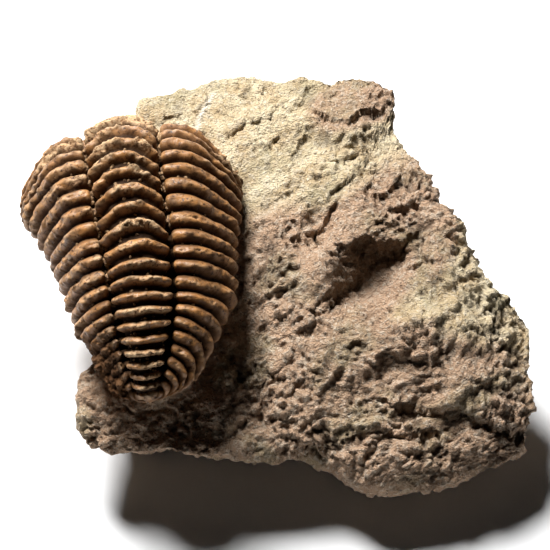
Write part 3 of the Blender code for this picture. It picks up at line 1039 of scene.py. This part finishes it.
        # Painted shade: the gaps between rings and ribs and the furrows are painted near black. Among the
        # bare lumps the dark is the stone's own.
        axis_gap, rib_gap = smooth_step(0.5, 0.7, from_crest), smooth_step(0.7, 0.92, from_crest)
        gap = np.where(parts.on_axis, axis_gap, rib_gap) * fade
        groove = 0.85 * np.maximum(gap, furrow * fade) * (1 - 0.7 * skinned)
        groove = np.maximum(groove, 0.7 * skinned * smooth_step(0.0, 0.3, lumps))
        return height, {"wear_and_highlight": np.maximum(wear_and_highlight, old), "groove": groove, "stain_and_shade": stain_and_shade}

    def head_relief(self, where: BodyPoints, points: Array) -> Array:
        """Gives how far the head's parts stand out: the middle lobe, its notches, the eyes and the rim.

        Args:
            where: the points' places on the body.
            points: the smooth body's points.

        Returns:
            The distances out.
        """
        head, way = where.head, where.way
        narrow = self.axis_way * (1 - 0.3 * head)
        behind_rim = smooth_step(0.8, 0.66, head)
        lobe = smooth_step(1.12, 0.85, way / narrow) * smooth_step(0.1, 0.17, head) * behind_rim
        notches = sum(np.exp(-((head - place) / 0.035) ** 2) for place in self.notch_places)
        notches = notches * smooth_step(0.35, 0.9, way / narrow)
        beside = np.exp(-((way - narrow * 1.08) / 0.035) ** 2) * smooth_step(0.02, 0.12, head) * behind_rim
        neck = np.exp(-((head - 0.09) / 0.03) ** 2) * smooth_step(0.85, 0.75, way)
        rim = smooth_step(0.84, 0.9, head) - np.exp(-((head - 0.8) / 0.035) ** 2)
        eyes = np.zeros(len(head))
        for side in Side:
            away = np.abs(head - self.eye_head) + np.abs(way - self.eye_way)
            centre = points[np.argmin(np.where(where.side == side.value, away, np.inf))]
            eyes = eyes + np.exp(-(np.linalg.norm(points - centre, axis=1) / self.eye_radius) ** 4)
        return 1.3 * lobe - 0.6 * notches * lobe - 1.0 * beside - 0.8 * neck + 0.6 * rim + 1.3 * eyes

    def to_block(self) -> Matrix:
        """Gives the move from the body's own frame to the block's."""
        turn = Euler((0.0, math.radians(self.roll), math.radians(self.yaw))).to_matrix().to_4x4()
        return Matrix.Translation(Vector(self.tail_tip)) @ turn

    def build(self) -> bpy.types.Object:
        """Builds the trilobite and puts it in the CAD one's place."""
        editor = bmesh.new()
        bmesh.ops.create_uvsphere(editor, u_segments=self.around, v_segments=self.rows, radius=1.0)
        where = self.read_sphere(points_of(editor))
        points, sideways, axis = self.plain_points(where)
        place_points(editor, points)
        face_outward(editor)
        height, shares = self.relief(where, points, sideways, axis)
        push_out(editor, height)
        bmesh.ops.transform(editor, matrix=self.to_block(), verts=editor.verts[:])
        self.lodge_crumbs(where, shares["groove"], points_of(editor))
        piece = finish_mesh("calcite_trilobite", editor, self.finish.make(), shares)
        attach(piece, "root")
        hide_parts("trilobite")
        report(piece)
        return piece

    def lodge_crumbs(self, where: BodyPoints, groove: Array, surface: Array) -> None:
        """Lodges grains of sand in the furrows beside the axis, and a few between rings and ribs.

        Args:
            where: the points' places on the body.
            groove: the share of groove at each point.
            surface: the finished shell's points in the block's frame.
        """
        beside_axis = (np.abs(where.way - self.axis_way) < 0.02) & (where.head < 0.05)
        left = beside_axis & (where.side < 0) & (where.station > 24)
        right = beside_axis & (where.side > 0) & (where.station > 36)
        between = (groove > 0.7) & (where.way < 0.6) & ~beside_axis
        crumbs = Crumbs("furrow_sand", seed=31)
        for chosen, count, most in ((left, 330, 0.75), (right, 150, 0.7), (between, 150, 0.4)):
            crumbs.scatter(surface[chosen], count, 0.25, most)
        report(crumbs.finish(self.sand.make()))


@dataclass
class Studio:
    """The white floor, the soft key light from behind on the left, a weak low light in front, an even
    fill and the camera."""

    floor: PaleFloor
    floor_reach: float = 3000.0
    floor_gap: float = 0.05
    target: tuple[float, float, float] = (0.0, -0.0015, 0.024)
    elevation: float = 60.0
    view_width: float = 0.110
    lens: float = 250.0
    sensor: float = 36.0
    key_heading: float = -27.0
    key_elevation: float = 48.0
    key_size: float = 0.28
    key_power: float = 15.5
    front_heading: float = 172.0
    front_elevation: float = 7.0
    front_size: float = 0.5
    front_power: float = 0.12
    lamp_distance: float = 0.7
    fill: float = 0.006

    def build(self) -> None:
        """Builds the whole set."""
        self.lay_floor()
        self.hang("key", self.key_heading, self.key_elevation, self.key_size, self.key_power)
        self.hang("low_front", self.front_heading, self.front_elevation, self.front_size, self.front_power)
        self.set_fill()
        self.place_camera()

    def lay_floor(self) -> None:
        """Lays the floor just under the block."""
        editor = bmesh.new()
        bmesh.ops.create_grid(editor, x_segments=1, y_segments=1, size=self.floor_reach)
        bmesh.ops.translate(editor, verts=editor.verts[:], vec=(0, 0, -self.floor_gap))
        card = finish_mesh("floor", editor, self.floor.make())

    def hang(self, name: str, heading: float, elevation: float, size: float, power: float) -> None:
        """Hangs a round soft light that faces the specimen.

        Args:
            name: the light's name.
            heading: where it hangs, in degrees from straight behind, positive to the right.
            elevation: how high it hangs, in degrees.
            size: its diameter in metres.
            power: its power in watts.
        """
        lamp = bpy.data.lights.new(name, "AREA")
        lamp.shape = "DISK"
        lamp.size = size
        lamp.energy = power
        holder = bpy.data.objects.new(name, lamp)
        turn, rise = math.radians(heading), math.radians(elevation)
        towards = Vector((math.sin(turn) * math.cos(rise), math.cos(turn) * math.cos(rise), math.sin(rise)))
        holder.location = Vector(self.target) + towards * self.lamp_distance
        holder.rotation_euler = towards.to_track_quat("Z", "Y").to_euler()
        holder.visible_camera = False
        bpy.context.scene.collection.objects.link(holder)

    def set_fill(self) -> None:
        """Sets the even fill light and keeps whites as they are."""
        world = bpy.data.worlds.new("fill")
        world.use_nodes = True
        world.node_tree.nodes["Background"].inputs["Color"].default_value = (1.0, 1.0, 1.0, 1.0)
        world.node_tree.nodes["Background"].inputs["Strength"].default_value = self.fill
        bpy.context.scene.world = world
        bpy.context.scene.view_settings.view_transform = "Standard"

    def place_camera(self) -> None:
        """Places the camera in front of the block, looking steeply down with a long lens."""
        data = bpy.data.cameras.new("camera")
        data.lens, data.sensor_width = self.lens, self.sensor
        camera = bpy.data.objects.new("camera", data)
        rise = math.radians(self.elevation)
        back = Vector((0.0, -math.cos(rise), math.sin(rise)))
        distance = self.view_width * self.lens / self.sensor
        camera.location = Vector(self.target) + back * distance
        camera.rotation_euler = back.to_track_quat("Z", "Y").to_euler()
        data.clip_start, data.clip_end = 0.01, 10.0
        bpy.context.scene.collection.objects.link(camera)
        bpy.context.scene.camera = camera


def main() -> None:
    """Builds the specimen and its set."""
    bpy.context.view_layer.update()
    LimestoneBlock(BrokenLimestone()).build()
    CalciteTrilobite(BrownCalcite(), FurrowGrit()).build()
    Studio(PaleFloor()).build()


if __name__ == "__main__":
    main()
